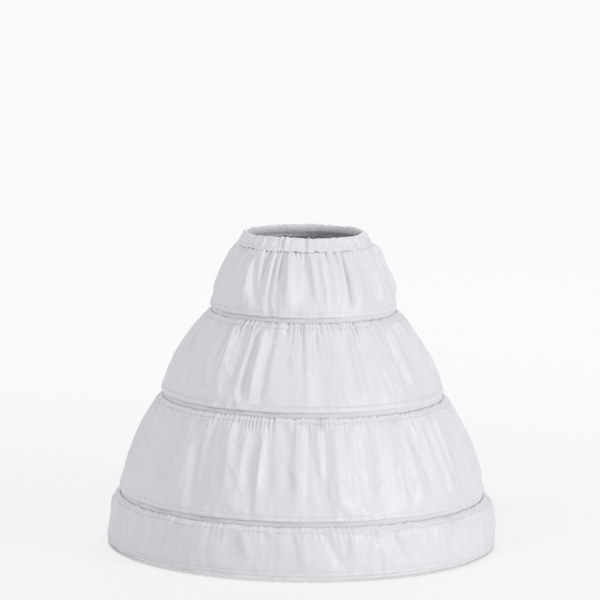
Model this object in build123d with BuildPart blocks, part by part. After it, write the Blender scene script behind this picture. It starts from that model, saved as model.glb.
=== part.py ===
"""A crinoline cage in a child's size: a three-hoop petticoat of four gathered tiers on an elastic waist.

+Z is up and the front faces -Y. The origin is on the floor, under the middle of the hem.
Lengths are in millimetres and angles in degrees, counted from +X, so that the back is at 90.
"""

import os
from math import cos, pi, radians, sin

from build123d import *

# The spring hoops, from the top down: the length of coated strip in each ring
HOOP_LENGTHS = (965.0, 1482.0, 1928.0)
HOOP_HEIGHT = 7.0
HOOP_THICKNESS = 1.6
HOOP_END_GAP = 2.0
FERRULE_LENGTH = 36.0
FERRULE_WALL = 0.5

# Heights above the floor
WAIST_TOP = 534.0
WAIST_SEAM = 514.0
LIP_LEVELS = (407.0, 262.5, 95.5)
HEM_LEVEL = 9.0

# Cloth, which is drawn thicker than real taffeta so that every wall is a solid
CLOTH = 1.2
HEM_FOLD = 3.0
TAPE = 1.0
LIP_STAND_OUT = 1.8

# Gathered cloth: the plain heading under each hoop, and the row of stitches that gathers it
CHANNEL_HEIGHT = 10.0
HEADING_DROP = 6.5
HEADING_STAND_OFF = 2.0
GATHER_DROP = 15.5
STITCH_PINCH = 0.4
LONG_TIER_SHARES = (0, 0.06, 0.25, 0.48, 0.73, 1)
HEM_TIER_SHARES = (0, 0.08, 0.4, 1)

# Outer radius of the fold ridges where each tier is gathered, and of the hem
TIER_TOP_RADII = (117.0, 171.0, 250.5, 321.5)
HEM_RADIUS = 330.4

# Waist casing and its elastic
WAIST_RADIUS = 97.0
CASING_STRAIGHT = 12.0
CASING_TOP_RADIUS = 102.0
CASING_MIDDLE_RADIUS = 108.0
CASING_FOOT_RADIUS = 114.0
CASING_FOOT_INSIDE = 108.5
CASING_PUCKERS = 30
PUCKER_DEPTH = 2.6
ELASTIC_HEIGHT = 11.0
ELASTIC_THICKNESS = 1.2
ELASTIC_LAP = 30.0

# Lace edging
LACE_THICKNESS = 1.0

# Rings are drawn with this many flat sides, so that cloth, tape and hoop lie face to face
RING_SIDES = 40

FRONT, BACK = 180.0, 0.0

hoop_radii = [length / (2 * pi) for length in HOOP_LENGTHS]
band_radii = [radius + HOOP_THICKNESS / 2 + TAPE for radius in hoop_radii]
lip_radii = [radius + LIP_STAND_OUT for radius in band_radii]


def at(radius, angle, height):
    """A point at a radius and an angle about the middle, and a height above the floor."""
    return Vector(radius * cos(radians(angle)), radius * sin(radians(angle)), height)


def unevenness(index):
    """A repeatable number from -1 to 1, because no two gathers are alike."""
    return sin(2.4 * index) * cos(1.7 * index + 0.6)


class Tier:
    """One tier of cloth: where it starts and ends, its swell, and how its gathers run down it."""

    def __init__(self, top, bottom, swell, folds, depth, shares):
        self.top_radius, self.top_level = top
        self.bottom_radius, self.bottom_level = bottom
        self.swell = swell
        self.folds = folds
        self.depth = depth
        self.shares = shares

    def level(self, share):
        """Height above the floor at a share of the way down."""
        return self.top_level + (self.bottom_level - self.top_level) * share

    def wall_radius(self, share):
        """Radius of the valleys between the folds: the cloth swells out at first, then hangs straighter."""
        ridge = self.bottom_radius - (self.bottom_radius - self.top_radius) * (1 - share) ** self.swell
        return ridge - 0.8 * self.depth * cos(share * pi / 2)

    def fold_height(self, index, share):
        """Height of one fold: pinched at the stitches, full just below them, gone above the next hoop."""
        reach = 0.85 + 0.15 * unevenness(3 * index)
        full = self.depth * (0.7 + 0.3 * unevenness(index))
        pinch = STITCH_PINCH if share == 0 else 1.0
        return full * pinch * cos(min(1.0, share / reach) * pi / 2)

    def loop(self, first_angle, height, wall, thickness, share=1.0):
        """Closed loop round half a ring of cloth: valleys and ridges outside, then back along the inside."""
        points = []
        for step in range(self.folds + 1):
            index = step + first_angle
            drift = 0 if step in (0, self.folds) else 0.35 * unevenness(index) * (1 + 0.6 * share)
            angle = first_angle + 180 * (step + drift) / self.folds
            relief = self.fold_height(index, share) if step % 2 else 0
            points.append(at(wall + relief, angle, height))
        for side in range(RING_SIDES // 2, -1, -1):
            points.append(at(wall - thickness, first_angle + 360 * side / RING_SIDES, height))
        return points


def gathered(hoop):
    """Radius and level of the stitches that gather a tier under a hoop."""
    return TIER_TOP_RADII[hoop + 1], LIP_LEVELS[hoop] - GATHER_DROP


def lip(hoop):
    """Radius and level of the folded edge that a tier ends in, over a hoop."""
    return lip_radii[hoop], LIP_LEVELS[hoop]


tiers = [
    Tier((TIER_TOP_RADII[0], WAIST_SEAM), lip(0), 1.6, 36, 6.0, LONG_TIER_SHARES),
    Tier(gathered(0), lip(1), 1.4, 44, 7.0, LONG_TIER_SHARES),
    Tier(gathered(1), lip(2), 1.4, 56, 7.0, LONG_TIER_SHARES),
    Tier(gathered(2), (HEM_RADIUS, HEM_LEVEL), 2.2, 36, 3.5, HEM_TIER_SHARES),
]


def skin(loops):
    """A solid skinned with flat facets through matching closed loops, and closed flat at both ends."""
    facets = [Face(Wire.make_polygon(loops[0])), Face(Wire.make_polygon(loops[-1]))]
    for upper, lower in zip(loops, loops[1:]):
        for here in range(len(upper)):
            there = (here + 1) % len(upper)
            facets.append(Face(Wire.make_polygon([upper[here], lower[here], lower[there]])))
            facets.append(Face(Wire.make_polygon([upper[here], lower[there], upper[there]])))
    return Solid(Shell(facets))


def cloth_panel(number, first_angle):
    """Front or back panel of a tier, skinned down from the heading through the gathers to the fold."""
    tier = tiers[number]
    loops = []
    if number > 0:
        hoop = number - 1
        heading = band_radii[hoop] + HEADING_STAND_OFF
        height = LIP_LEVELS[hoop] - HEADING_DROP
        loops.append(tier.loop(first_angle, height, heading, HEADING_STAND_OFF))
    for share in tier.shares:
        thickness = HEM_FOLD if share == 1 else CLOTH
        loops.append(tier.loop(first_angle, tier.level(share), tier.wall_radius(share), thickness, share))
    with BuildPart() as panel:
        add(skin(loops))
    return panel


def strip_ring(outside, inside, level, height):
    """A flat strip bent into a closed ring, standing on a level."""
    with BuildPart() as strip:
        with BuildSketch(Plane.XY.offset(level)):
            RegularPolygon(outside, RING_SIDES)
            RegularPolygon(inside, RING_SIDES, mode=Mode.SUBTRACT)
        extrude(amount=height)
    return strip


def hoop_ring(hoop, spare=0.0):
    """The closed ring that a hoop's strip lies in, with spare space all round it if asked."""
    half = HOOP_THICKNESS / 2 + spare
    floor = LIP_LEVELS[hoop] - (CHANNEL_HEIGHT + HOOP_HEIGHT) / 2 - spare
    return strip_ring(hoop_radii[hoop] + half, hoop_radii[hoop] - half, floor, HOOP_HEIGHT + 2 * spare)


def spring_hoop(hoop):
    """The strip of coated spring steel, cut so that its two ends nearly meet at the back."""
    with BuildPart() as strip:
        add(hoop_ring(hoop).part)
        with Locations((0, hoop_radii[hoop], LIP_LEVELS[hoop] - CHANNEL_HEIGHT / 2)):
            Box(HOOP_END_GAP, 4 * HOOP_THICKNESS, 2 * HOOP_HEIGHT, mode=Mode.SUBTRACT)
    return strip


def ferrule_blank(hoop):
    """The outside of the sleeve that joins the two ends of a hoop."""
    with BuildPart() as blank:
        add(hoop_ring(hoop, FERRULE_WALL).part)
        with Locations((0, hoop_radii[hoop], LIP_LEVELS[hoop] - CHANNEL_HEIGHT / 2)):
            Box(FERRULE_LENGTH, FERRULE_LENGTH, 2 * HOOP_HEIGHT, mode=Mode.INTERSECT)
    return blank


def ferrule(hoop):
    """The crimped sleeve itself, hollow where the strip runs through."""
    with BuildPart() as sleeve:
        add(ferrule_blank(hoop).part)
        add(hoop_ring(hoop).part, mode=Mode.SUBTRACT)
    return sleeve


def channel(hoop):
    """The tape tunnel that a hoop runs in, sewn between two tiers."""
    inside = hoop_radii[hoop] - HOOP_THICKNESS / 2 - TAPE
    with BuildPart() as tunnel:
        add(strip_ring(band_radii[hoop], inside, LIP_LEVELS[hoop] - CHANNEL_HEIGHT, CHANNEL_HEIGHT).part)
        add(hoop_ring(hoop).part, mode=Mode.SUBTRACT)
        add(ferrule_blank(hoop).part, mode=Mode.SUBTRACT)
    return tunnel


def elastic_band():
    """The waist elastic, a flat loop whose ends lap at the back."""
    inside = WAIST_RADIUS + CLOTH
    outside = inside + ELASTIC_THICKNESS
    level = WAIST_TOP - CLOTH - ELASTIC_HEIGHT
    with BuildPart() as band:
        add(strip_ring(outside + ELASTIC_THICKNESS, inside, level, ELASTIC_HEIGHT).part)
        with Locations((0, outside, level)):
            Box(ELASTIC_LAP, ELASTIC_LAP, 3 * ELASTIC_HEIGHT, mode=Mode.INTERSECT)
        add(strip_ring(outside, inside, level, ELASTIC_HEIGHT).part)
    return band


def pucker_loop(height, ridge, depth):
    """Closed loop round the puckered outside of the waist casing."""
    points = []
    for index in range(2 * CASING_PUCKERS):
        angle = 180 * (index + 0.3 * unevenness(index)) / CASING_PUCKERS
        inset = depth if index % 2 else 0.5 * depth * abs(unevenness(5 * index))
        points.append(at(ridge - inset, angle, height))
    return points


def waist_casing(elastic):
    """The folded waist band, puckered outside by its elastic and smooth against the waist."""
    loops = (
        pucker_loop(WAIST_TOP, CASING_TOP_RADIUS, PUCKER_DEPTH / 3),
        pucker_loop((WAIST_TOP + WAIST_SEAM) / 2, CASING_MIDDLE_RADIUS, PUCKER_DEPTH),
        pucker_loop(WAIST_SEAM, CASING_FOOT_RADIUS, PUCKER_DEPTH),
    )
    with BuildPart() as casing:
        add(skin(loops))
        with BuildSketch(Plane.XZ):
            with BuildLine():
                Polyline(
                    (0, WAIST_TOP),
                    (WAIST_RADIUS, WAIST_TOP),
                    (WAIST_RADIUS, WAIST_TOP - CASING_STRAIGHT),
                    (CASING_FOOT_INSIDE, WAIST_SEAM),
                    (0, WAIST_SEAM),
                    close=True,
                )
            make_face()
        revolve(axis=Axis.Z, mode=Mode.SUBTRACT)
        add(elastic.part, mode=Mode.SUBTRACT)
    return casing


def write(piece, name):
    """Label a finished piece and write it to its own file."""
    piece.part.label = name
    export_step(piece.part, f"parts/{name}.step")
    print(name, round(piece.part.volume), "cubic mm")


os.makedirs("parts", exist_ok=True)

elastic = elastic_band()
write(elastic, "waist_elastic")
write(waist_casing(elastic), "waist_casing")

for number in range(len(tiers)):
    write(cloth_panel(number, FRONT), f"tier_{number + 1}_front")
    write(cloth_panel(number, BACK), f"tier_{number + 1}_back")

for hoop in range(len(HOOP_LENGTHS)):
    write(spring_hoop(hoop), f"hoop_{hoop + 1}")
    write(ferrule(hoop), f"hoop_ferrule_{hoop + 1}")
    write(channel(hoop), f"hoop_channel_{hoop + 1}")

lace_outside = HEM_RADIUS - HEM_FOLD / 2 + LACE_THICKNESS
write(strip_ring(lace_outside, lace_outside - LACE_THICKNESS, 0, HEM_LEVEL), "lace_edging")
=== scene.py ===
# %% [markdown]
# # A crinoline cage
# A crinoline cage is a petticoat that holds a skirt out. Three spring hoops run in tape channels, a tier of
# taffeta is gathered above each hoop and one more below the last, and an elastic waist and a lace hem finish
# the two ends. The CAD model gives the size and place of every piece. This script dresses it: each plain CAD
# panel is replaced by thin, gathered cloth, and stitches, tape and lace are added. Everything is in metres,
# +Z is up, and the front faces -Y.

# %% Load the frame
import math

import bpy
import numpy as np
from mathutils import Euler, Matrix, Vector


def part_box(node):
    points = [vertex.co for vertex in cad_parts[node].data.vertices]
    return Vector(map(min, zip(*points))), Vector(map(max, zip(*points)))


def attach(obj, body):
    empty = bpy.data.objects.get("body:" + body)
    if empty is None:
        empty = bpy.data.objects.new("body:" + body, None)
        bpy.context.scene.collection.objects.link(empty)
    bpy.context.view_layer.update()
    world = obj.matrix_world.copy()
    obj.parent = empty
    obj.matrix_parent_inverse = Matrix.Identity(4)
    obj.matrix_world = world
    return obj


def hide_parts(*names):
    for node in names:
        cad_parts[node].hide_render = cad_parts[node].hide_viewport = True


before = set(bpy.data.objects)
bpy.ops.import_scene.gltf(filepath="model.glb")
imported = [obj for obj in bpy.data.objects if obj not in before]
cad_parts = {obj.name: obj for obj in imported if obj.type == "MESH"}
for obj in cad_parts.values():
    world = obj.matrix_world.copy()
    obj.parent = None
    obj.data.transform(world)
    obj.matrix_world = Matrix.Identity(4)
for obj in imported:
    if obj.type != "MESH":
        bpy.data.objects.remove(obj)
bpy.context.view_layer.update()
print("nodes", sorted(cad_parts))

# %% [markdown]
# ## Sizes that come from the CAD model
# Cloth has to meet the tape and the tape has to meet the hoop, so their radii and heights are read from the
# CAD nodes and not typed in again. A ring's radius is half the width of its box. Tier 1 ends over hoop 1,
# tier 2 over hoop 2 and so on, and the lowest tier ends at the lace.

# %% Read radii and levels
TIERS = (1, 2, 3, 4)
HOOPS = (1, 2, 3)


def ring_of(node):
    """Radius, lowest and highest level of a ring-shaped CAD node."""
    low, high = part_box(node)
    return (high[0] - low[0]) / 2, low[2], high[2]


hoop_radius = {hoop: ring_of(f"hoop_{hoop}")[0] for hoop in HOOPS}
band_radius = {hoop: ring_of(f"hoop_channel_{hoop}")[0] for hoop in HOOPS}
band_low = {hoop: ring_of(f"hoop_channel_{hoop}")[1] for hoop in HOOPS}
band_high = {hoop: ring_of(f"hoop_channel_{hoop}")[2] for hoop in HOOPS}
edge_radius = {tier: ring_of(f"tier_{tier}_front")[0] for tier in TIERS}
edge_level = {tier: ring_of(f"tier_{tier}_front")[1] for tier in TIERS}
top_level = {tier: ring_of(f"tier_{tier}_front")[2] for tier in TIERS}
waist_seam = ring_of("waist_casing")[1]
print("hoop radii", {hoop: round(radius, 4) for hoop, radius in hoop_radius.items()})
print("edge levels", {tier: round(level, 4) for tier, level in edge_level.items()})

# %% [markdown]
# ## Camera
# The photograph was taken from a little above the waist with a long lens, which is why the hoops show as
# flat ovals, the lowest one the most open. The camera stands in front, on the -Y side, and leans very
# slightly to one side, as a hand-set camera does.

# %% Make the camera
CAMERA_ELEVATION = math.radians(8.1)
CAMERA_DISTANCE = 6.15
CAMERA_LENS = 218
CAMERA_ROLL = math.radians(0.65)
CAMERA_AIM = (-0.0068, 0.0, 0.416)
CAMERA_REACH = 200

camera_data = bpy.data.cameras.new("camera")
camera_data.lens = CAMERA_LENS
camera_data.clip_end = CAMERA_REACH
camera = bpy.data.objects.new("camera", camera_data)
bpy.context.scene.collection.objects.link(camera)
camera.location = (
    CAMERA_AIM[0],
    CAMERA_AIM[1] - CAMERA_DISTANCE * math.cos(CAMERA_ELEVATION),
    CAMERA_AIM[2] + CAMERA_DISTANCE * math.sin(CAMERA_ELEVATION),
)
upright = Euler((math.pi / 2 - CAMERA_ELEVATION, 0, 0)).to_matrix()
camera.rotation_euler = (upright @ Euler((0, 0, CAMERA_ROLL)).to_matrix()).to_euler()
bpy.context.scene.camera = camera
bpy.context.scene.view_settings.view_transform = "Standard"
print("camera at", [round(value, 3) for value in camera.location])

# %% [markdown]
# ## Helpers for shader nodes
# The world, the floor and the materials are all built from nodes. One helper fills in the inputs of a node,
# each with a value or with a link from another node, and a second adds such a node. The others make what
# comes up again and again: a sum with two values, a change of range, a mask for the rays that come from the
# camera or from a glossy surface, and a material to start from.

# %% Write the node helpers
SHEEN_ROUGHNESS = 0.4


def fill(tree, node, inputs):
    """Give inputs of a node, by name or number, a value or a link from an output socket."""
    for label, value in inputs.items():
        if isinstance(value, bpy.types.NodeSocket):
            tree.links.new(value, node.inputs[label])
        else:
            node.inputs[label].default_value = value


def add_node(tree, kind, inputs, **settings):
    """A new node with its settings made and its inputs filled."""
    node = tree.nodes.new("ShaderNode" + kind)
    for name, value in settings.items():
        setattr(node, name, value)
    fill(tree, node, inputs)
    return node


def math_node(tree, operation, first, second=0.0):
    """A Math node; returns its output socket."""
    return add_node(tree, "Math", {0: first, 1: second}, operation=operation).outputs[0]


def map_range(tree, value, limits, interpolation="LINEAR"):
    """A Map Range node with its limits (from low, from high, to low, to high); returns its output socket."""
    inputs = dict(zip(("From Min", "From Max", "To Min", "To Max"), limits), Value=value)
    return add_node(tree, "MapRange", inputs, interpolation_type=interpolation).outputs["Result"]


def camera_or_glossy(tree):
    """A socket that is 1 for rays from the camera or from a glossy surface, and 0 for the others."""
    path = add_node(tree, "LightPath", {})
    return math_node(tree, "MAXIMUM", path.outputs["Is Camera Ray"], path.outputs["Is Glossy Ray"])


def new_material(name, color, roughness, sheen=0.0, metallic=0.0):
    """A material with a plain Principled shader, ready for its pattern; returns its tree and shader too."""
    material = bpy.data.materials.new(name)
    material.use_nodes = True
    tree = material.node_tree
    shader = tree.nodes["Principled BSDF"]
    fill(tree, shader, {"Base Color": (*color, 1), "Roughness": roughness, "Metallic": metallic})
    fill(tree, shader, {"Sheen Weight": sheen, "Sheen Roughness": SHEEN_ROUGHNESS})
    return material, tree, shader


print("node helpers ready")

# %% [markdown]
# ## Light
# White cloth shows its folds only if the light has a direction. A soft lamp stands in front on the right and
# rakes across the folds. A second hangs high in front, a little to the left: it draws the shadow that each
# folded edge throws on the band under it, so that the hoops read as dark lines. A third, large and soft,
# lights the back. The world fills the rest evenly, and shows as plain studio white wherever the camera sees
# past the floor.

# %% Add the lamps and the world
SKIRT_MIDDLE = (0.0, 0.0, 0.25)
LAMPS = (
    # name, place, width in metres, power in watts
    ("key_lamp", (3.1, -2.4, 1.4), 0.8, 57),
    ("high_lamp", (-1.8, -1.4, 3.1), 0.9, 31),
    ("back_lamp", (0.8, 3.4, 2.4), 2.0, 34),
)
WORLD_STRENGTH = 0.43
WORLD_TINT = (0.965, 0.965, 1.0)
STUDIO_WHITE = (0.97, 0.965, 0.975)

for name, place, width, power in LAMPS:
    lamp_data = bpy.data.lights.new(name, "AREA")
    lamp_data.size = width
    lamp_data.energy = power
    lamp = bpy.data.objects.new(name, lamp_data)
    lamp.location = place
    lamp.rotation_euler = (Vector(SKIRT_MIDDLE) - Vector(place)).to_track_quat("-Z", "Y").to_euler()
    bpy.context.scene.collection.objects.link(lamp)

world = bpy.data.worlds.new("studio")
bpy.context.scene.world = world
world.use_nodes = True
tree = world.node_tree
light = tree.nodes["Background"]
fill(tree, light, {"Color": (*WORLD_TINT, 1), "Strength": WORLD_STRENGTH})
backdrop = add_node(tree, "Background", {"Color": (*STUDIO_WHITE, 1)})
shown = add_node(tree, "MixShader", {0: camera_or_glossy(tree), 1: light.outputs[0], 2: backdrop.outputs[0]})
fill(tree, tree.nodes["World Output"], {"Surface": shown.outputs[0]})

# %% [markdown]
# ## Floor
# The floor is a plain pale plane that reaches far behind the skirt, so that it fills the picture. To the
# camera it mostly glows, which makes it studio white without putting more light on the cloth, and the rest
# of it keeps the soft shadow under the hem. The glow grows with the distance from a point near the skirt.

# %% Lay the floor
FLOOR_SIZE = 160
FLOOR_COLOR = (0.93, 0.93, 0.94)
FLOOR_ROUGHNESS = 0.9
NEAR_SHARE, FAR_SHARE = 0.72, 0.96
GLOW_CENTRE = (-0.35, -0.3, 0.0)
GLOW_FROM, GLOW_TO = 0.2, 2.6

bpy.ops.object.select_all(action="DESELECT")
bpy.ops.mesh.primitive_plane_add(size=FLOOR_SIZE, location=(0, 0, 0))
floor = bpy.context.object
floor.name = "floor"
floor_material, tree, surface = new_material("floor", FLOOR_COLOR, FLOOR_ROUGHNESS)
where = add_node(tree, "TexCoord", {}).outputs["Object"]
distance = add_node(tree, "VectorMath", {0: where, 1: GLOW_CENTRE}, operation="DISTANCE").outputs["Value"]
share = map_range(tree, distance, (GLOW_FROM, GLOW_TO, NEAR_SHARE, FAR_SHARE), "SMOOTHSTEP")
amount = math_node(tree, "MULTIPLY", camera_or_glossy(tree), share)
glow = add_node(tree, "Emission", {"Color": (*STUDIO_WHITE, 1)})
mix = add_node(tree, "MixShader", {0: amount, 1: surface.outputs[0], 2: glow.outputs[0]})
fill(tree, tree.nodes["Material Output"], {"Surface": mix.outputs[0]})
floor.data.materials.append(floor_material)
print("floor", FLOOR_SIZE, "m square")

# %% [markdown]
# ## Shader groups
# Three patterns are used by more than one material, so each is a node group with its own inputs. A weave is
# made of two sets of fine waves, one along each thread direction of the UV map, which is laid out in metres
# over every piece of cloth, and of long patches of noise for its uneven threads. A twist is the strands of a
# cord, wound round it at a slant. Creases are noise with crisp lines across it: soft folds on cloth, and wear
# on steel.

# %% Make the weave, twist and crease groups
SLUB_STRETCH = (70.0, 9.0, 1.0)
SLUB = {"Scale": 1.0, "Detail": 2.0}
CRUMPLE_STRETCH = (1.0, 1.0, 0.45)
CRUMPLE = {"Detail": 3.0, "Roughness": 0.45, "Distortion": 0.6}
LINE_BEND = (0.035, 0.035, 0.035)
LINE_FLANK = (0.0, 0.35, 0.0, 1.0)


def new_group(name, inputs, outputs):
    """An empty shader node group with float inputs (name: start value) and named outputs."""
    group = bpy.data.node_groups.new(name, "ShaderNodeTree")
    for label, value in inputs.items():
        socket = group.interface.new_socket(label, in_out="INPUT", socket_type="NodeSocketFloat")
        socket.default_value = value
    for label in outputs:
        group.interface.new_socket(label, in_out="OUTPUT", socket_type="NodeSocketFloat")
    enter = group.nodes.new("NodeGroupInput")
    leave = group.nodes.new("NodeGroupOutput")
    return group, enter.outputs, leave


weave, given, leave = new_group("weave", {"Threads per metre": 2500.0, "Rib": 0.6}, ("Height", "Slub"))
threads_uv = add_node(weave, "TexCoord", {}).outputs["UV"]
parts = add_node(weave, "SeparateXYZ", {0: threads_uv}).outputs
turns = math_node(weave, "MULTIPLY", given["Threads per metre"], 2 * math.pi)
warp = math_node(weave, "SINE", math_node(weave, "MULTIPLY", parts["X"], turns))
weft = math_node(weave, "SINE", math_node(weave, "MULTIPLY", parts["Y"], turns))
ribbed = math_node(weave, "MULTIPLY", weft, given["Rib"])
stretched = add_node(weave, "Mapping", {"Vector": threads_uv, "Scale": SLUB_STRETCH}).outputs[0]
slub = add_node(weave, "TexNoise", {"Vector": stretched, **SLUB})
fill(weave, leave, {"Height": math_node(weave, "ADD", warp, ribbed), "Slub": slub.outputs["Fac"]})

twist, given, leave = new_group("twist", {"Along": 4.0, "Around": 2.0}, ("Height",))
parts = add_node(twist, "SeparateXYZ", {0: add_node(twist, "TexCoord", {}).outputs["UV"]}).outputs
climb = math_node(twist, "MULTIPLY", parts["Y"], given["Along"])
wind = math_node(twist, "MULTIPLY", parts["X"], given["Around"])
slant = math_node(twist, "MULTIPLY", math_node(twist, "ADD", climb, wind), 2 * math.pi)
fill(twist, leave, {"Height": math_node(twist, "ABSOLUTE", math_node(twist, "SINE", slant))})

creases, given, leave = new_group("creases", {"Size": 26.0, "Crispness": 0.5}, ("Height",))
place = add_node(creases, "TexCoord", {}).outputs["Object"]
pulled = add_node(creases, "Mapping", {"Vector": place, "Scale": CRUMPLE_STRETCH}).outputs[0]
crumple = add_node(creases, "TexNoise", {"Vector": pulled, "Scale": given["Size"], **CRUMPLE}).outputs
bend = {0: crumple["Color"], 1: LINE_BEND, 2: pulled}
bent = add_node(creases, "VectorMath", bend, operation="MULTIPLY_ADD").outputs[0]
cells = add_node(creases, "TexVoronoi", {"Vector": bent, "Scale": given["Size"]}, feature="DISTANCE_TO_EDGE")
flank = map_range(creases, cells.outputs["Distance"], LINE_FLANK, "SMOOTHSTEP")
lines = math_node(creases, "MULTIPLY", flank, given["Crispness"])
fill(creases, leave, {"Height": math_node(creases, "ADD", crumple["Fac"], lines)})
print("groups", [group.name for group in bpy.data.node_groups])

# %% [markdown]
# ## Materials
# Taffeta is a plain, tight weave of bright filament: nearly white, with a soft gloss and a slight rib. The
# casing is the same cloth, crinkled more finely by the elastic, and painted a little lighter, as a painted
# highlight on its puckers. The hoop channels are a satin tape painted a little darker and bluer than the
# cloth:
# partly the strip inside showing through, partly painted shade of the recess under each folded edge. Sewing
# thread and lace thread are twisted, with painted shade in the grooves between their strands, and the lace is
# the more matt and is painted whiter, as painted light against the shade under the hem. The hoops are coated
# steel and their sleeves plated steel, both slightly worn.
# Each material keeps its own Principled shader and reads the groups.

# %% Make the materials
CORD_SHEEN = 0.3
CREASE_STRENGTH, CLOTH_CRISPNESS, WEAR_CRISPNESS = 0.6, 0.4, 0.2
# each bump: height in metres, strength
WEAVE_BUMP = (0.00003, 0.06)
STRAND_BUMP = (0.00006, 0.5)
WEAR_BUMP = (0.0001, 0.4)
# the cord's spread runs from the painted shade in its grooves to the tops of its strands
CLOTH_SPREAD, CORD_GROOVE_SHADE_SPREAD, WEAR_SPREAD = (0.3, 0.7), (0.0, 0.6), (0.35, 0.75)
POLISH_FROM, POLISH_TO = 0.3, 0.8


def pattern(tree, group, **inputs):
    """A node group placed in a material, with its inputs set; returns its output sockets."""
    named = {label.replace("_", " "): value for label, value in inputs.items()}
    return add_node(tree, "Group", named, node_tree=group).outputs


def bump(tree, height, distance, strength, **onto):
    """A Bump node over a height, on top of an earlier Normal if one is given; returns its output socket."""
    inputs = {"Height": height, "Distance": distance, "Strength": strength, **onto}
    return add_node(tree, "Bump", inputs).outputs[0]


def tint(tree, mask, spread, *colors):
    """A colour that runs from one to another with a mask that changes over the surface."""
    ramp = add_node(tree, "ValToRGB", {0: mask})
    for stop, place, color in zip(ramp.color_ramp.elements, spread, colors):
        stop.position = place
        stop.color = (*color, 1)
    return ramp.outputs[0]


def cloth_material(name, low_color, high_color, roughness, threads, rib, crease, size=24.0, sheen=0.2):
    """A woven material: tinted by its uneven threads, with a weave and soft creases in its surface."""
    material, tree, shader = new_material(name, high_color, roughness, sheen)
    woven = pattern(tree, weave, Threads_per_metre=threads, Rib=rib)
    creased = pattern(tree, creases, Size=size, Crispness=CLOTH_CRISPNESS)
    soft = bump(tree, creased["Height"], crease, CREASE_STRENGTH)
    fine = bump(tree, woven["Height"], *WEAVE_BUMP, Normal=soft)
    color = tint(tree, woven["Slub"], CLOTH_SPREAD, low_color, high_color)
    fill(tree, shader, {"Base Color": color, "Normal": fine})
    return material


def cord_material(name, low_color, high_color, roughness, along, around):
    """Twisted thread: its strands wind round it, and the grooves between them are painted darker, as painted
    shade.
    """
    material, tree, shader = new_material(name, high_color, roughness, CORD_SHEEN)
    strands = pattern(tree, twist, Along=along, Around=around)["Height"]
    # painted shade: the grooves between the strands take the darker colour
    color = tint(tree, strands, CORD_GROOVE_SHADE_SPREAD, low_color, high_color)
    fill(tree, shader, {"Base Color": color, "Normal": bump(tree, strands, *STRAND_BUMP)})
    return material


def worn_material(name, low_color, high_color, smooth, rough, metallic, size):
    """A coated or plated surface: its colour, polish and level all wander a little."""
    material, tree, shader = new_material(name, high_color, smooth, metallic=metallic)
    wear = pattern(tree, creases, Size=size, Crispness=WEAR_CRISPNESS)["Height"]
    color = tint(tree, wear, WEAR_SPREAD, low_color, high_color)
    polish = map_range(tree, wear, (POLISH_FROM, POLISH_TO, rough, smooth))
    fill(tree, shader, {"Base Color": color, "Roughness": polish, "Normal": bump(tree, wear, *WEAR_BUMP)})
    return material


taffeta = cloth_material(
    "taffeta", (0.815, 0.813, 0.84), (0.835, 0.832, 0.862),
    roughness=0.45, threads=2500.0, rib=0.8, crease=0.006,
)
# painted highlight: the casing's taffeta is painted a little lighter than the rest, for the bright tops of
# its puckers
crinkled_taffeta_painted_light = cloth_material(
    "crinkled_taffeta_painted_light", (0.82, 0.818, 0.845), (0.86, 0.857, 0.885),
    roughness=0.36, threads=2500.0, rib=0.8, crease=0.0035, size=50.0,
)
# painted shade: the tape is a little darker and bluer than the cloth, partly the strip inside showing
# through, partly the shade of the recess under each folded edge
satin_tape_painted_shade = cloth_material(
    "satin_tape_painted_shade", (0.77, 0.77, 0.80), (0.80, 0.80, 0.83),
    roughness=0.35, threads=1400.0, rib=1.6, crease=0.0004,
)
thread = cord_material(
    "sewing_thread", (0.70, 0.70, 0.74), (0.86, 0.86, 0.89), roughness=0.5, along=4.0, around=2.0
)
# painted light: the lace thread is painted whiter than the cloth, against the shade it hangs in under the hem
lace_thread_painted_light = cord_material(
    "lace_thread_painted_light", (0.86, 0.86, 0.87), (0.95, 0.95, 0.955), roughness=0.7, along=2.0, around=16.0
)
coated_steel = worn_material(
    "coated_steel", (0.78, 0.78, 0.80), (0.86, 0.86, 0.87), smooth=0.24, rough=0.42, metallic=0.0, size=70.0
)
plated_steel = worn_material(
    "plated_steel", (0.52, 0.52, 0.54), (0.66, 0.66, 0.67), smooth=0.22, rough=0.45, metallic=1.0, size=160.0
)
elastic_knit = cloth_material(
    "elastic_knit", (0.76, 0.76, 0.79), (0.84, 0.84, 0.86),
    roughness=0.75, threads=900.0, rib=0.4, crease=0.0006, sheen=0.3,
)
print("materials", [material.name for material in bpy.data.materials])

# %% [markdown]
# ## How gathered cloth is described
# Each tier is a straight strip, sewn flat to the hoop at its lower edge and drawn up on a thread at its
# upper edge. The strip is as long as its lower edge, so the further up one goes, the more cloth is left over,
# and it stands out in folds. That spare length sets how deep the folds are. The folds are small and many at
# the stitches, and join in pairs on the way down, so three waves are mixed, each with about half the count of
# the one before. A surface built by this rule keeps the right area of cloth, as real gathers do.

# %% Write the wave helpers
FRONT, BACK = math.pi, 0.0
CRISPNESS = 0.88
MEAN_WEIGHT, USUAL_PEAK = 0.75, 1.6
UNEVEN_SPACING, SPACING_SEED = 0.5, 500
MEAN_HEIGHT, HEIGHT_SPREAD = 0.6, 0.45
LEAST_HEIGHT, MOST_HEIGHT = 0.05, 1.5


def ripple(angle, lowest, highest, seed):
    """Smooth, even noise round the ring, about -1 to 1, with no step where the ring closes."""
    random = np.random.RandomState(seed)
    total = np.zeros_like(angle)
    for count in range(lowest, highest + 1):
        total += random.uniform(0.5, 1.0) * np.cos(count * angle + random.uniform(0, 2 * math.pi))
    return total / (MEAN_WEIGHT * math.sqrt((highest - lowest + 1) / 2) * USUAL_PEAK)


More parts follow.
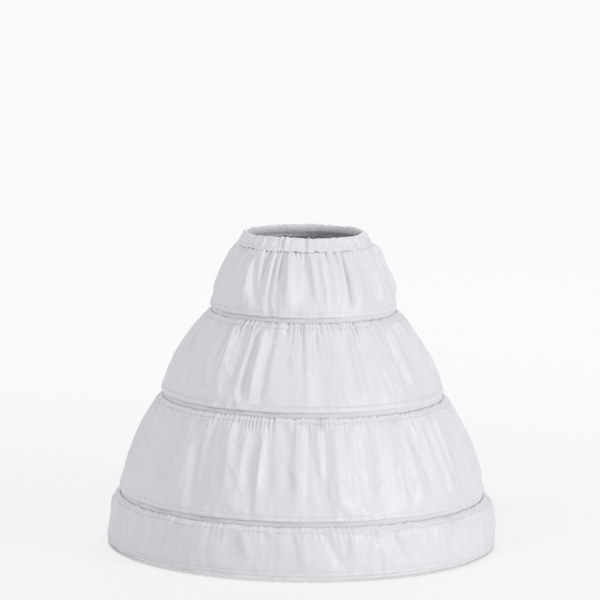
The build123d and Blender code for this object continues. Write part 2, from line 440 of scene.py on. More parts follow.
def fade(value, start, end):
    """0 before start, 1 after end, and a smooth step between."""
    share = np.clip((value - start) / (end - start), 0, 1)
    return share * share * (3 - 2 * share)


def bell(distance, reach):
    """1 at no distance, falling smoothly to nothing past the reach."""
    return np.exp(-((distance / reach) ** 2))


def fold_wave(angle, count, warp, drift, seed, least=LEAST_HEIGHT):
    """One set of folds: crisp ridges with flat flanks, unevenly spaced, that lean as they go down."""
    phase = count * angle + warp + drift
    phase += UNEVEN_SPACING * ripple(angle, 3, max(9, count // 3), seed + SPACING_SEED) * np.sin(phase)
    height = MEAN_HEIGHT + HEIGHT_SPREAD * ripple(angle, 5, max(9, count // 2), seed)
    crest = np.arcsin(CRISPNESS * np.cos(phase)) / math.asin(CRISPNESS)
    return np.clip(height, least, MOST_HEIGHT) * crest


print("ripple sample", np.round(ripple(np.array([0.0, 1.0, 2.0]), 3, 9, 1), 3))

# %% [markdown]
# ## The profile of a tier
# Seen from the side, a tier is one line: the heading, which turns over on the tape, the row of gathering
# stitches, the swell down to the next hoop, and a lower edge that turns under in a narrow hem. The line is
# closely stepped where it bends, at the stitches and the edge, and widely stepped between.

# %% Draw the profiles
TOP_RADIUS = {1: 0.1125, 2: 0.1665, 3: 0.2465, 4: 0.3195}
SWELL = {1: 1.5, 2: 1.25, 3: 1.25, 4: 1.9}
HEADING_STAND_OFF = 0.0018
HEADING_TUCK = 0.0018
# out and up from the stitches under the casing, and from the top of a heading on its tape
WAIST_HEADING = ((-0.003, 0.004), (-0.001, 0.002))
HEADING_CURL = ((-0.0012, -0.0030), (-0.0010, -0.0008), (0.0, 0.0), (0.0012, -0.0006))
HEADING_STEPS = (0.25, 0.5, 0.75, 0.9)
GATHER_DROP = 0.0155
NEAR_STITCHES = (0, 0.0012, 0.0025, 0.004, 0.006, 0.0085, 0.0115, 0.015, 0.019)
NEAR_EDGE = (0.0095, 0.0085, 0.0075, 0.0065, 0.005, 0.003, 0.0012, 0)
OPEN_START, OPEN_END, OPEN_STEP = 0.023, 0.012, 0.0075
HEM_TURN = 0.0008
HEM_DEPTH = 0.010
HEM_INSET = ((0.0004, 0.5), (0.0012, 1.0))
TOPSTITCH_RISE = 0.0075


def profile(tier):
    """Rows of a tier from the top down: radius, height, share of the way down, and 1 in the heading."""
    edge_r, edge_z = edge_radius[tier] - HEM_TURN, edge_level[tier] + HEM_TURN
    top_r = TOP_RADIUS[tier]
    if tier == 1:
        stitch_z = waist_seam
        heading = [(top_r + out, stitch_z + up) for out, up in WAIST_HEADING]
    else:
        hoop = tier - 1
        stitch_z = band_high[hoop] - GATHER_DROP
        inner = band_radius[hoop] + HEADING_STAND_OFF
        heading_z = top_level[tier] - HEADING_TUCK
        heading = [(inner + out, heading_z + up) for out, up in HEADING_CURL]
        curl_r, curl_z = heading[-1]
        for step in HEADING_STEPS:
            heading.append((curl_r + (top_r - curl_r) * step, curl_z + (stitch_z - curl_z) * step))
    drop = stitch_z - edge_z
    shares = [depth / drop for depth in NEAR_STITCHES]
    shares += list(np.linspace(OPEN_START / drop, 1 - OPEN_END / drop, max(6, int(drop / OPEN_STEP))))
    shares += [1 - depth / drop for depth in NEAR_EDGE]
    rows = [(radius, height, 0.0, 1.0) for radius, height in heading]
    for share in shares:
        radius = edge_r - (edge_r - top_r) * (1 - share) ** SWELL[tier]
        rows.append((radius, stitch_z - drop * share, share, 0.0))
    for angle in (60, 120, 180):
        turn = math.radians(angle)
        radius = edge_r - HEM_TURN + HEM_TURN * math.cos(turn)
        rows.append((radius, edge_z - HEM_TURN * math.sin(turn), 1.0, 0.0))
    for inset, rise in HEM_INSET:
        rows.append((edge_r - 2 * HEM_TURN - inset, edge_z + HEM_DEPTH * rise, 1.0, 0.0))
    return np.array(rows)


for tier in TIERS:
    print("tier", tier, "rows", len(profile(tier)))

# %% [markdown]
# ## Folds over the profile
# Each point of the profile moves out or in along the line's own normal. The three waves and a slow sway do
# most of it. The main folds of the front are added one by one, each at its own place, with low creases that
# slant across them, and the sides and the back repeat them at other angles. Just above the hoop the folds run
# out, and the folded edge stands off the tape a little, more here and less there.

# %% Write the folds
FOLDS = {1: (22, 46, 96), 2: (33, 68, 140), 3: (42, 86, 190), 4: (24, 90, 210)}
MIDDLE_REACH = {1: 0.065, 2: 0.035, 3: 0.035, 4: 0.035}
SLACK = {1: 0.03, 2: 0.02, 3: 0.015, 4: 0.012}
FULLNESS = {1: (1.5, 1.3, 1.3), 2: (0.8, 0.35, 1.3), 3: (0.75, 0.3, 1.3), 4: (0.6, 0.5, 1.4)}
SWAYS = {1: (11, 0.0036), 2: (15, 0.0040), 3: (19, 0.0036), 4: (15, 0.0030)}
LEAST_HEIGHTS = (LEAST_HEIGHT, LEAST_HEIGHT, 0.4)
FOLD_UNIT = 0.0016
MARKED_FOLDS = {
    # degrees right of the front at the top and the bottom, depth and width in units, share of the way down
    1: (
        (-59, -57, 2.6, 5, 0.4), (-43, -31, 2.8, 4, 0.95), (-19, -11, 1.8, 4, 0.6), (8, 7, 1.2, 7, 0.9),
        (27, 25, 1.6, 5, 0.9), (52, 49, 1.2, 5, 0.6),
    ),
    2: (
        (-57, -58, 1.4, 6, 0.95), (-46, -42, 1.9, 5, 1.0), (-31, -26, 2.0, 6, 1.0), (-20, -18, 1.2, 5, 0.8),
        (-8, -7, 1.6, 7, 0.95), (10, 8, 1.3, 6, 1.0), (22, 21, 1.5, 6, 1.0), (35, 40, 1.3, 4, 0.95),
        (47, 53, 1.3, 5, 0.9),
    ),
    3: (
        (-53, -52, 1.4, 5, 1.0), (-48, -47, 1.6, 3, 0.6), (-41, -37, 2.0, 5, 1.0), (-32, -26, 2.0, 6, 0.9),
        (-21, -17, 1.4, 6, 0.8), (-13, -10, 1.3, 6, 0.8), (-5, -4, 1.6, 7, 1.0), (2, 7, 1.5, 5, 1.0),
        (23, 21, 1.4, 8, 0.9), (34, 31, 1.2, 5, 0.7), (58, 60, 1.3, 6, 0.8),
    ),
    4: (
        (-61, -63, 1.3, 6, 1.0), (-37, -49, 1.4, 5, 0.9), (-20, -16, 0.9, 7, 0.8), (-3, -1, 1.3, 6, 1.0),
        (7, 12, 1.4, 5, 1.0), (21, 16, 1.1, 5, 1.0), (27, 33, 1.1, 5, 0.9), (35, 36, 1.1, 5, 1.0),
        (41, 44, 0.9, 5, 0.9), (49, 49, 1.1, 6, 1.0), (61, 58, 1.1, 6, 1.0),
    ),
}
FOLD_START, FOLD_FULL = 0.06, 0.6
SHOULDER_PLACE, SHOULDER_HEIGHT = 1.7, 0.6
CROSS_CREASES = {
    # share of the way down and degrees right of the front, where each starts and ends
    1: ((0.25, 47, 0.9, 33), (0.3, -34, 0.85, -46)),
    2: ((0.25, 42, 0.85, 54), (0.3, 28, 1.0, 37), (0.2, -30, 0.8, -44), (0.35, 4, 0.9, -6)),
    3: (
        (0.2, 0, 0.95, 9), (0.3, 52, 0.9, 40), (0.35, 33, 0.9, 44), (0.3, -20, 0.95, -32),
        (0.4, -50, 0.9, -42),
    ),
    4: ((0.3, -30, 0.95, -42), (0.2, 24, 0.9, 14), (0.25, 44, 0.9, 52)),
}
CREASE_DEPTH = 0.0011
CREASE_WIDTH = 0.0034
REPEATS = (0, 127, 233)
WARP, LEAN, WAVE_SHIFT = 1.2, 1.8, 0.5
SMALL_REACH = 0.013
BROAD_REACH, BROAD_LOSS = 0.035, 0.4
STITCH_SLACK = 0.06
HEADING_PRESS = 0.4
SWAY_START, SWAY_FULL = 0.02, 0.45
RUN_OUT_START, RUN_OUT_END = 0.034, 0.007
HEM_PUCKER, PUCKER_RISE, PUCKER_REACH = 0.0007, 0.009, 0.006
LIP_SWAY, LIP_LEFTWARDS = 0.0013, 0.7


def turned_from(angle, degrees):
    """How far round the ring an angle is from a place given in degrees right of the front."""
    centre = math.radians(degrees) - math.pi / 2
    return (angle - centre + math.pi) % (2 * math.pi) - math.pi


def cross_relief(tier, angle, radius, share):
    """Creases that run across the folds: each is a low ridge from one place on the cloth to another."""
    relief = np.zeros_like(angle)
    creases = [(turn, crease) for turn in REPEATS for crease in CROSS_CREASES[tier]]
    for turn, (start, first, end, last) in creases:
        part = (share - start) / (end - start)
        if 0 < part < 1:
            away = turned_from(angle, turn + first + (last - first) * part)
            relief += CREASE_DEPTH * math.sqrt(math.sin(math.pi * part)) * bell(away * radius, CREASE_WIDTH)
    return relief


def marked_relief(tier, angle, radius, share):
    """The main folds of the front: valleys with a raised shoulder, each at its own place."""
    relief = np.zeros_like(angle)
    folds = [(turn, fold) for turn in REPEATS for fold in MARKED_FOLDS[tier]]
    for turn, (top, bottom, depth, width, reach) in folds:
        steps = turned_from(angle, turn + top + (bottom - top) * share) * radius / (FOLD_UNIT * width)
        along = fade(share, 0.0, FOLD_START) * (1 - fade(share, FOLD_FULL * reach, reach))
        shape = SHOULDER_HEIGHT * bell(steps - SHOULDER_PLACE, 1) - bell(steps, 1)
        relief += FOLD_UNIT * depth * along * shape
    return relief


def lip_sway(tier, angle):
    """How far the folded lower edge stands off the tape: never quite evenly, and most on the left."""
    slow = ripple(angle, 9, 34, 10 * tier + 7)
    quick = ripple(angle, 50, 110, 10 * tier + 17)
    return LIP_SWAY * (1 - LIP_LEFTWARDS * np.cos(angle)) * np.clip(0.5 + 0.4 * slow + 0.25 * quick, 0, 1.4)


def fold_relief(tier, angle, radius, share, heading):
    """How far the cloth stands out from its profile, at angles round one row."""
    broadest = FOLDS[tier][0]
    seed = 10 * tier
    fall = top_level[tier] - edge_level[tier]
    drop = share * fall
    small = bell(drop, SMALL_REACH)
    middle = (1 - small) * bell(drop, MIDDLE_REACH[tier])
    broad = (1 - small) * (1 - BROAD_LOSS * bell(drop, BROAD_REACH))
    spare = max(0.0, edge_radius[tier] / radius - 1) + SLACK[tier]
    spare = spare * (1 - HEADING_PRESS * heading) + STITCH_SLACK * max(small, heading)
    warp = WARP * ripple(angle, 3, broadest // 2, seed)
    lean = LEAN * share * ripple(angle, 2, 9, seed + 1)
    relief = np.zeros_like(angle)
    waves = zip(FOLDS[tier], (broad, middle, small), FULLNESS[tier], LEAST_HEIGHTS)
    for own_seed, (count, part, full, least) in enumerate(waves, seed + 2):
        times = count / broadest
        extra = ripple(angle, 4, broadest, own_seed + 3) * (times - 1) * WAVE_SHIFT
        depth = full * 2 * radius / count * math.sqrt(part * spare)
        relief += depth * fold_wave(angle, count, times * warp + extra, times * lean, own_seed, least)
    sways, sway_depth = SWAYS[tier]
    sway = fold_wave(angle, sways, 1.4 * ripple(angle, 2, 7, seed + 8), 0.6 * lean, seed + 9)
    relief += sway_depth * fade(share, SWAY_START, SWAY_FULL) * sway
    relief += marked_relief(tier, angle, radius, share) + cross_relief(tier, angle, radius, share)
    pucker = fold_wave(angle, FOLDS[tier][2] // 2, 4 * warp, 0.0, seed + 6)
    relief += HEM_PUCKER * bell(fall - drop - PUCKER_RISE, PUCKER_REACH) * pucker
    free = 1 - fade(drop, fall - RUN_OUT_START, fall - RUN_OUT_END)
    return relief * free + lip_sway(tier, angle) * (1 - free)


relief = fold_relief(2, np.linspace(0, math.pi, 9), 0.2, 0.5, 0.0)
print("tier 2 relief half-way down, in mm", np.round(1000 * relief, 1))

# %% [markdown]
# ## One panel
# A panel is half a ring. Its columns run down the cloth and are close enough to draw the smallest puckers.
# The stitches pinch it, and a row of topstitching sinks a little into the hem. Its two ends turn inwards, as
# a seam allowance does, so that the front and back panels meet in a real seam.

# %% Build one panel's grid of points
COLUMNS = {1: 300, 2: 420, 3: 500, 4: 400}
HEADING_WOBBLE, WOBBLE_REACH = 0.0008, 0.012
STITCH_PINCH, PINCH_REACH = 0.0018, 0.0012
HEM_PUFF, PUFF_RISE, PUFF_REACH = 0.0005, 0.0040, 0.0028
TOPSTITCH_SINK, SINK_REACH = 0.0005, 0.0008
SEAM_GROOVE, GROOVE_REACH = 0.0009, 0.0016
SEAM_GAP = 0.00025
SEAM_INSETS = (0.0015, 0.004, 0.007)
SEAM_COLUMNS = len(SEAM_INSETS)
HEM_ROWS = 5


def panel_grid(tier, first_angle):
    """Points of one cloth panel, as rows down by columns across."""
    rows = profile(tier)
    angle = first_angle + np.linspace(0, math.pi, COLUMNS[tier] + 1)
    slope = np.gradient(rows[:, :2], axis=0)
    normal = np.stack([-slope[:, 1], slope[:, 0]], axis=1)
    normal /= np.linalg.norm(normal, axis=1)[:, None]
    normal[-HEM_ROWS:] = (1, 0)
    wobble = HEADING_WOBBLE * ripple(angle, 12, 70, 10 * tier + 18)
    grid = np.zeros((len(rows), len(angle) + 2 * SEAM_COLUMNS, 3))
    for index, (radius, height, share, heading) in enumerate(rows):
        relief = fold_relief(tier, angle, radius, share, heading)
        from_stitch = share * (top_level[tier] - edge_level[tier])
        above_edge = height - edge_level[tier]
        if heading == 0:
            relief -= STITCH_PINCH * bell(from_stitch, PINCH_REACH)
        if share > 0.5:
            relief += HEM_PUFF * bell(above_edge - PUFF_RISE, PUFF_REACH)
            relief -= TOPSTITCH_SINK * bell(above_edge - TOPSTITCH_RISE, SINK_REACH)
        if index >= len(rows) - HEM_ROWS:
            relief = lip_sway(tier, angle)
        across = np.minimum(angle - angle[0], angle[-1] - angle) * radius
        relief -= SEAM_GROOVE * bell(across, GROOVE_REACH)
        out_r = radius + relief * normal[index, 0]
        out_z = height + relief * normal[index, 1]
        if share < 0.5:
            out_z = out_z + wobble * bell(from_stitch, WOBBLE_REACH)
        face = np.stack([out_r * np.cos(angle), out_r * np.sin(angle), out_z], axis=1)
        grid[index, SEAM_COLUMNS:-SEAM_COLUMNS] = face
        for step, inset in enumerate(SEAM_INSETS, 1):
            for end, column, side in ((0, SEAM_COLUMNS - step, 1), (-1, step - SEAM_COLUMNS - 1, -1)):
                place = angle[end] + side * SEAM_GAP / radius
                edge = out_r[end] - inset
                grid[index, column] = (edge * math.cos(place), edge * math.sin(place), out_z[end])
    return grid


sample = panel_grid(2, FRONT)
print("tier 2 panel", sample.shape, "lowest", round(sample[:, :, 2].min(), 4))

# %% [markdown]
# ## From points to a sewn panel
# A grid of points becomes a mesh of four-sided faces, with a UV map in metres that follows the threads.
# Solidify then gives it the thickness of taffeta and closes its edges, and is applied, so that each panel is
# a closed sheet.

# %% Make the cloth panels
TAFFETA_THICKNESS = 0.0003


def piece_from(name, points, faces, corners, material):
    """A smooth piece from its points, its faces and the UV of every face corner."""
    mesh = bpy.data.meshes.new(name)
    mesh.from_pydata(points.tolist(), [], faces)
    layer = mesh.uv_layers.new(name="threads")
    layer.data.foreach_set("uv", np.asarray(corners, dtype=np.float32).ravel())
    mesh.materials.append(material)
    mesh.shade_smooth()
    piece = bpy.data.objects.new(name, mesh)
    bpy.context.scene.collection.objects.link(piece)
    return piece


def mesh_from_grid(name, grid, closed, material):
    """A smooth mesh over a grid of points, with its UV map in metres along and across."""
    rows, columns = grid.shape[:2]
    across = np.linalg.norm(np.diff(grid[rows // 2], axis=0), axis=1)
    across = np.concatenate([[0], np.cumsum(across)])
    down = np.linalg.norm(np.diff(grid[:, columns // 2], axis=0), axis=1)
    down = np.concatenate([[0], np.cumsum(down)])
    faces, corners = [], []
    for row in range(rows - 1):
        here, below = row * columns, (row + 1) * columns
        for column in range(columns if closed else columns - 1):
            beside = (column + 1) % columns
            faces.append((here + column, below + column, below + beside, here + beside))
            left = across[column]
            right = across[column + 1] if column + 1 < columns else across[-1] + across[1]
            upper, lower = -down[row], -down[row + 1]
            corners += [(left, upper), (left, lower), (right, lower), (right, upper)]
    return piece_from(name, grid.reshape(-1, 3), faces, corners, material)


def make_active(piece):
    """Select one piece alone, so that operators act on it and nothing else."""
    bpy.ops.object.select_all(action="DESELECT")
    piece.select_set(True)
    bpy.context.view_layer.objects.active = piece


def thicken(piece, thickness):
    """Give an open sheet its thickness, inwards from its outer face, and apply it."""
    make_active(piece)
    solid = piece.modifiers.new("thickness", "SOLIDIFY")
    solid.thickness = thickness
    solid.offset = -1
    bpy.ops.object.modifier_apply(modifier="thickness")


def dress(piece, node):
    """Tie a finished piece to the frame, in place of a CAD node."""
    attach(piece, "root")
    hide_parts(node)
    print(piece.name, "faces", len(piece.data.polygons), "size", np.round(piece.dimensions, 4))


panel_grids = {}
for tier in TIERS:
    for side, first_angle in (("front", FRONT), ("back", BACK)):
        grid = panel_grids[tier, side] = panel_grid(tier, first_angle)
        panel = mesh_from_grid(f"cloth_{tier}_{side}", grid, False, taffeta)
        thicken(panel, TAFFETA_THICKNESS)
        dress(panel, f"tier_{tier}_{side}")

# %% [markdown]
# ## Waist casing
# The casing is the top of the cloth folded over and sewn down round the elastic. The elastic draws it up, so
# it is all short, tight puckers, and its top edge is never quite level. It is one sheet: up the inside, over
# the elastic, and down the outside to the seam. It is as long as both strips of the first tier.

# %% Make the waist casing
CASING_FOLDS = 34
CASING_COLUMNS = 720
CASING_WARP, CASING_LEAN = 2.2, 2.6
TOP_DIP, TOP_FROM, TOP_TO = 0.0011, 0.528, 0.535
FOOT_DIP, FOOT_FROM, FOOT_TO = 0.0012, 0.5125, 0.522
CASING_LINE = (
    # radius, height, pucker depth
    (0.1080, 0.5120, 0.0002), (0.1085, 0.5140, 0.0003), (0.1035, 0.5175, 0.0005),
    (0.0990, 0.5205, 0.0006), (0.0972, 0.5240, 0.0006), (0.0970, 0.5280, 0.0007),
    (0.0972, 0.5308, 0.0008), (0.0980, 0.5328, 0.0010), (0.0992, 0.5338, 0.0013),
    (0.1006, 0.5337, 0.0016), (0.1018, 0.5325, 0.0020), (0.1028, 0.5303, 0.0028),
    (0.1040, 0.5275, 0.0034), (0.1055, 0.5245, 0.0036), (0.1074, 0.5215, 0.0032),
    (0.1096, 0.5186, 0.0024), (0.1113, 0.5166, 0.0012), (0.1122, 0.5155, 0.0006),
    (0.1134, 0.5145, 0.0009), (0.1144, 0.5130, 0.0012), (0.1139, 0.5120, 0.0012),
)


def casing_grid():
    """Points of the casing, as rows from the inside foot over the top to the outside foot."""
    angle = np.linspace(0, 2 * math.pi, CASING_COLUMNS, endpoint=False)
    warp = CASING_WARP * ripple(angle, 3, 20, 91)
    coarse = fold_wave(angle, CASING_FOLDS // 2, warp, 0.0, 92)
    loose = np.clip(0.9 + 0.5 * ripple(angle, 4, 18, 97), 0.25, 1.6)
    top_wave, foot_wave = ripple(angle, 2, 9, 96), ripple(angle, 6, 60, 98)
    grid = np.zeros((len(CASING_LINE), CASING_COLUMNS, 3))
    for index, (radius, height, depth) in enumerate(CASING_LINE):
        lean = CASING_LEAN * ripple(angle, 3, 24, 93) * (index / len(CASING_LINE) - 0.6)
        fine = fold_wave(angle, 2 * CASING_FOLDS, 2 * warp + 0.8, 2 * lean, 94)
        broad = fold_wave(angle, CASING_FOLDS, warp, lean, 95)
        mixed = 0.85 * broad + 0.5 * fine + 0.5 * coarse
        out_r = radius + depth * loose * (3 * np.sqrt(np.clip((mixed + 1.8) / 3.6, 0, 1)) - 1.8)
        top = TOP_DIP * fade(height, TOP_FROM, TOP_TO) * (broad + top_wave)
        foot = FOOT_DIP * (1 - fade(height, FOOT_FROM, FOOT_TO)) * foot_wave
        grid[index] = np.stack([out_r * np.cos(angle), out_r * np.sin(angle), height + top + foot], axis=1)
    return grid


casing = mesh_from_grid("casing", casing_grid(), True, crinkled_taffeta_painted_light)
thicken(casing, TAFFETA_THICKNESS)
dress(casing, "waist_casing")

# %% [markdown]
# ## A tool for rings
# Hoops, sleeves, channels and the elastic are all rings with a small, plain section, so one tool makes them:
# a flat face is added at the ring's radius, its corners are rounded with a bevel, and the face or its outline
# is spun about the upright axis. A spun face closes the ends of a ring that stops short of a full turn.

# %% Write the ring tool
RING_STEPS = 240
BACK_ANGLE = math.pi / 2
ROUND_CORNER_ANGLE = math.radians(50)


def spun_section(
    name, radius, levels, width, corner, material, start=0.0, arc=2 * math.pi, steps=RING_STEPS, filled=False
):
    """A rounded flat section between two levels, spun about Z from a start angle through an arc."""
    low, high = levels
    bpy.ops.object.select_all(action="DESELECT")
    middle = (radius, 0, (low + high) / 2)
    bpy.ops.mesh.primitive_plane_add(size=1, location=middle, rotation=(math.pi / 2, 0, 0))
    piece = bpy.context.object
    piece.name = name
    piece.scale = (width, high - low, 1)
    bpy.ops.object.transform_apply(location=True, rotation=True, scale=True)
    bpy.ops.object.mode_set(mode="EDIT")
    bpy.ops.mesh.select_all(action="SELECT")
    bpy.ops.mesh.bevel(offset=corner, offset_type="OFFSET", segments=3, affect="VERTICES")
    bpy.ops.mesh.select_all(action="SELECT")
    bpy.ops.transform.rotate(value=-start, orient_axis="Z", center_override=(0, 0, 0))
    if not filled:
        bpy.ops.mesh.delete(type="ONLY_FACE")
        bpy.ops.mesh.select_all(action="SELECT")
    bpy.ops.mesh.spin(steps=steps, angle=arc, center=(0, 0, 0), axis=(0, 0, 1))
    bpy.ops.mesh.select_all(action="SELECT")
    bpy.ops.mesh.remove_doubles(threshold=1e-6)
    bpy.ops.mesh.normals_make_consistent(inside=False)
    bpy.ops.object.mode_set(mode="OBJECT")
    piece.data.materials.append(material)
    bpy.ops.object.shade_smooth_by_angle(angle=ROUND_CORNER_ANGLE)
    return piece


def points_of(mesh):
    """The points of a mesh, one to a row."""
    points = np.zeros(len(mesh.vertices) * 3)
    mesh.vertices.foreach_get("co", points)
    return points.reshape(-1, 3)


def unroll(piece, radius):
    """Turn a ring's UV map into one in metres: along its circumference and up."""
    mesh = piece.data
    points = points_of(mesh)
    layer = mesh.uv_layers[0]
    layer.name = "threads"
    angles = np.arctan2(points[:, 1], points[:, 0])
    for face in mesh.polygons:
        first = angles[face.vertices[0]]
        for corner, vertex in zip(face.loop_indices, face.vertices):
            turn = (angles[vertex] - first + math.pi) % (2 * math.pi) - math.pi
            layer.data[corner].uv = ((first + turn) * radius, points[vertex][2])


print("ring steps", RING_STEPS)

# %% [markdown]
# ## Hoops, sleeves, channels and elastic
# The hoop stops short of a full turn, and the ferrule is a short, hollow sleeve over that gap. The channel is
# a closed ring that Solidify turns into a hollow tunnel, and the elastic is a plain closed ring.

# %% Spin the hoops, sleeves, channels and elastic
HOOP_THICKNESS = 0.0016
HOOP_CORNER = 0.0005
HOOP_END_GAP = 0.002
FERRULE_LENGTH = 0.036
FERRULE_WALL = 0.0005
FERRULE_CORNER = 0.0006
FERRULE_STEPS = 12
TAPE_THICKNESS = 0.0004
TAPE_CORNER = 0.0008
ELASTIC_THICKNESS = 0.0012
ELASTIC_CORNER = 0.0003
ELASTIC_STEPS = 180

for hoop in HOOPS:
    middle = hoop_radius[hoop] - HOOP_THICKNESS / 2
    low, high = ring_of(f"hoop_{hoop}")[1:]
    half_gap = HOOP_END_GAP / 2 / middle
    strip = spun_section(
        f"spring_hoop_{hoop}", middle, (low, high), HOOP_THICKNESS, HOOP_CORNER, coated_steel,
        start=BACK_ANGLE + half_gap, arc=2 * math.pi - 2 * half_gap, filled=True,
    )
    dress(strip, f"hoop_{hoop}")
    half_sleeve = FERRULE_LENGTH / 2 / middle
    sleeve = spun_section(
        f"ferrule_{hoop}", middle, (low - FERRULE_WALL, high + FERRULE_WALL),
        HOOP_THICKNESS + 2 * FERRULE_WALL, FERRULE_CORNER, plated_steel,
        start=BACK_ANGLE - half_sleeve, arc=2 * half_sleeve, steps=FERRULE_STEPS,
    )
    thicken(sleeve, FERRULE_WALL * 0.9)
    dress(sleeve, f"hoop_ferrule_{hoop}")
    tape = spun_section(
        f"channel_{hoop}", middle, (band_low[hoop], band_high[hoop]), 2 * (band_radius[hoop] - middle),
        TAPE_CORNER, satin_tape_painted_shade,
    )
    thicken(tape, TAPE_THICKNESS)
    unroll(tape, middle)
    dress(tape, f"hoop_channel_{hoop}")

elastic_radius, elastic_low, elastic_high = ring_of("waist_elastic")
elastic_middle = elastic_radius - ELASTIC_THICKNESS / 2
elastic = spun_section(
    "elastic", elastic_middle, (elastic_low, elastic_high), ELASTIC_THICKNESS, ELASTIC_CORNER, elastic_knit,
    start=BACK_ANGLE, steps=ELASTIC_STEPS,
)
unroll(elastic, elastic_middle)
dress(elastic, "waist_elastic")

# %% [markdown]
# ## Copies of one small piece
# Stitches and scallops are small things that repeat hundreds of times. One is modelled, and a helper copies
# its mesh to a list of places. A place is a point and three axes: along the row, out of the cloth and across,
# so that each copy lies on the cloth under it.

# %% Write the copying helpers
def copies_of(model, name, places):
    """One piece made of copies of a model; each place is an origin and the copy's three axes."""
    points = points_of(model.data)
    unwrapped = np.zeros(len(model.data.loops) * 2)
    model.data.uv_layers[0].data.foreach_get("uv", unwrapped)
    shape = [tuple(face.vertices) for face in model.data.polygons]
    every, faces = [], []
    for index, (origin, axes) in enumerate(places):
        every.append(origin + points @ axes)
        faces += [tuple(vertex + index * len(points) for vertex in face) for face in shape]
    material = model.data.materials[0]
    bpy.data.objects.remove(model)
    return piece_from(name, np.concatenate(every), faces, np.tile(unwrapped, len(places)), material)


def places_along(row, beside, pitch, lift):
    """Places at an even pitch along a closed row of points, lifted off the cloth between two rows."""
    steps = np.linalg.norm(np.roll(row, -1, axis=0) - row, axis=1)
    reach = np.concatenate([[0], np.cumsum(steps)])
    count = int(round(reach[-1] / pitch))
    places = []
    for distance in (np.arange(count) + 0.5) * reach[-1] / count:
        index = min(int(np.searchsorted(reach, distance, side="right")) - 1, len(row) - 1)
        part = (distance - reach[index]) / max(steps[index], 1e-9)
        after = (index + 1) % len(row)
        origin = row[index] * (1 - part) + row[after] * part
        along = row[after] - row[index]
        along /= np.linalg.norm(along)
        across = beside[index] - row[index]
        out = np.cross(across, along)
        out /= np.linalg.norm(out)
        if out @ (origin * (1, 1, 0)) < 0:
            out = -out
        places.append((origin + lift * out, np.stack([along, out, np.cross(along, out)])))
    return places


def places_round(radius, count):
    """Places of equal copies round the hem, each facing outwards."""
    places = []
    for index in range(count):
        angle = 2 * math.pi * (index + 0.5) / count
        outwards = np.array([math.cos(angle), math.sin(angle), 0.0])
        along = np.array([-math.sin(angle), math.cos(angle), 0.0])
        places.append((radius * outwards, np.stack([along, -outwards, np.array([0.0, 0.0, 1.0])])))
    return places


print("copying helpers ready")

# %% [markdown]
# ## Stitches
# A machine stitch shows as a short thread that dips into the cloth at both ends. A small sphere drawn out
# along X has just that shape. The rows lie where the garment is sewn: at the foot of the waist casing, along
# each row of gathers, above each folded lower edge and round the hem.

# %% Sew the rows of stitches
STITCH_LENGTH = 0.0023
STITCH_PITCH = 0.0029
STITCH_RADIUS = 0.00028
STITCH_LIFT = 0.8 * STITCH_RADIUS


def one_stitch():
    """A stitch along X, tapered at both ends."""
    bpy.ops.object.select_all(action="DESELECT")
    bpy.ops.mesh.primitive_uv_sphere_add(segments=5, ring_count=3, radius=1, rotation=(0, math.pi / 2, 0))
    stitch = bpy.context.object
    bpy.ops.object.transform_apply(location=True, rotation=True, scale=True)
    stitch.scale = (STITCH_LENGTH / 2, STITCH_RADIUS, STITCH_RADIUS)
    bpy.ops.object.transform_apply(location=True, rotation=True, scale=True)
    stitch.data.materials.append(thread)
    return stitch


def sew(name, tier, share):
    """One row of stitches round a tier, nearest a share of the way down, as a finished piece."""
    rows = profile(tier)
    index = np.argmin(np.abs(rows[:, 2] - share) + rows[:, 3])
    rings = [panel_grids[tier, side][:, SEAM_COLUMNS:-SEAM_COLUMNS - 1] for side in ("front", "back")]
    whole = np.concatenate(rings, axis=1)
    places = places_along(whole[index], whole[index + 1], STITCH_PITCH, STITCH_LIFT)
    piece = copies_of(one_stitch(), name, places)
    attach(piece, "root")
    print(name, "faces", len(piece.data.polygons))


for tier in TIERS:
    rows = profile(tier)
    run = rows[rows[:, 3] == 0][0][1] - edge_level[tier] - HEM_TURN
    sew(f"gather_stitches_{tier}", tier, 0.0)
    sew(f"edge_stitches_{tier}", tier, 1 - TOPSTITCH_RISE / run)

# %% [markdown]
# ## Lace edging
# The lace is a narrow machine-made edging: a sewn band, a row of arches that hang from it, and small loops
# along each arch. One scallop is modelled from rings that are squashed and cut in half, and is then copied
# all round the hem. There are more than three hundred of them, so each ring has few faces.

# %% Model one scallop and copy it round the hem
LACE_LOW, LACE_HIGH = ring_of("lace_edging")[1:]
LACE_RADIUS = ring_of("lace_edging")[0] - 0.0008
SCALLOPS = 336
SCALLOP_WIDTH = 2 * math.pi * LACE_RADIUS / SCALLOPS
LACE_CORD = 0.00042
LACE_SIDES = 3
ARCH_DROP = 0.0024
PICOT_RADIUS = 0.0010
PICOT_ANGLES = (-150, -90, -30)
HEADER_LEVELS = (LACE_HIGH - 0.0030, LACE_HIGH - 0.0012)
HEADER_WIDTH, HEADER_CORNER = 0.0006, 0.0002
BLANK_RADIUS, BLANK_CORD = 0.01, 0.001


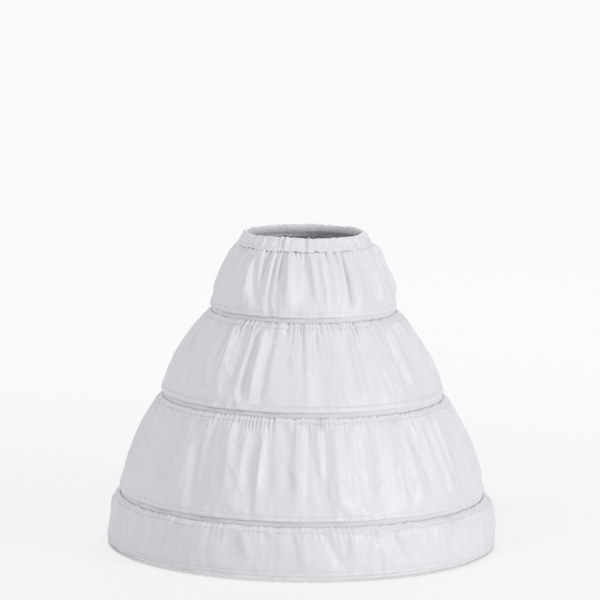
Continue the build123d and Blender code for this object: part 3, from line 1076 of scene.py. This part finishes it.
def lace_ring(width, depth, cord, steps, place, half=False):
    """A ring of lace thread round a place (x, z), with a width and a depth; only its lower half if asked."""
    bpy.ops.object.select_all(action="DESELECT")
    bpy.ops.mesh.primitive_torus_add(
        major_radius=BLANK_RADIUS, minor_radius=BLANK_CORD, major_segments=steps, minor_segments=LACE_SIDES,
        rotation=(math.pi / 2, 0, 0),
    )
    ring = bpy.context.object
    bpy.ops.object.transform_apply(location=True, rotation=True, scale=True)
    if half:
        bpy.ops.object.mode_set(mode="EDIT")
        bpy.ops.mesh.select_all(action="SELECT")
        bpy.ops.mesh.bisect(plane_co=(0, 0, 0.0001), plane_no=(0, 0, 1), clear_outer=True, use_fill=True)
        bpy.ops.object.mode_set(mode="OBJECT")
    points = points_of(ring.data)
    out = np.hypot(points[:, 0], points[:, 2])
    thinner = cord / BLANK_CORD
    offset = (out - BLANK_RADIUS) * thinner - cord
    points[:, 0] = place[0] + points[:, 0] / out * (width / 2 + offset)
    points[:, 2] = place[1] + points[:, 2] / out * (depth + offset)
    points[:, 1] *= thinner
    ring.data.vertices.foreach_set("co", points.ravel())
    ring.data.materials.append(lace_thread_painted_light)
    return ring


def join(pieces):
    """Join pieces into the first of them."""
    make_active(pieces[0])
    for piece in pieces:
        piece.select_set(True)
    bpy.ops.object.join()
    return pieces[0]


def lace_scallop():
    """One scallop: the arch, a smaller arch within it, and the three loops along its edge."""
    top = (0.0, LACE_HIGH - ARCH_DROP)
    depth = top[1] - LACE_LOW - 2 * PICOT_RADIUS + LACE_CORD
    pieces = [
        lace_ring(SCALLOP_WIDTH + 2 * LACE_CORD, depth, LACE_CORD, 12, top, half=True),
        lace_ring(SCALLOP_WIDTH * 0.5, depth * 0.55, LACE_CORD * 0.8, 8, top, half=True),
    ]
    for angle in PICOT_ANGLES:
        turn = math.radians(angle)
        place = (
            (SCALLOP_WIDTH / 2 + PICOT_RADIUS * 0.5) * math.cos(turn),
            top[1] + (depth + PICOT_RADIUS * 0.7) * math.sin(turn),
        )
        pieces.append(lace_ring(2 * PICOT_RADIUS, PICOT_RADIUS, LACE_CORD * 0.75, 6, place))
    return join(pieces)


scallops = copies_of(lace_scallop(), "lace_scallops", places_round(LACE_RADIUS, SCALLOPS))
header = spun_section("lace_header", LACE_RADIUS, HEADER_LEVELS, HEADER_WIDTH, HEADER_CORNER, lace_thread_painted_light)
unroll(header, LACE_RADIUS)
dress(join([scallops, header]), "lace_edging")
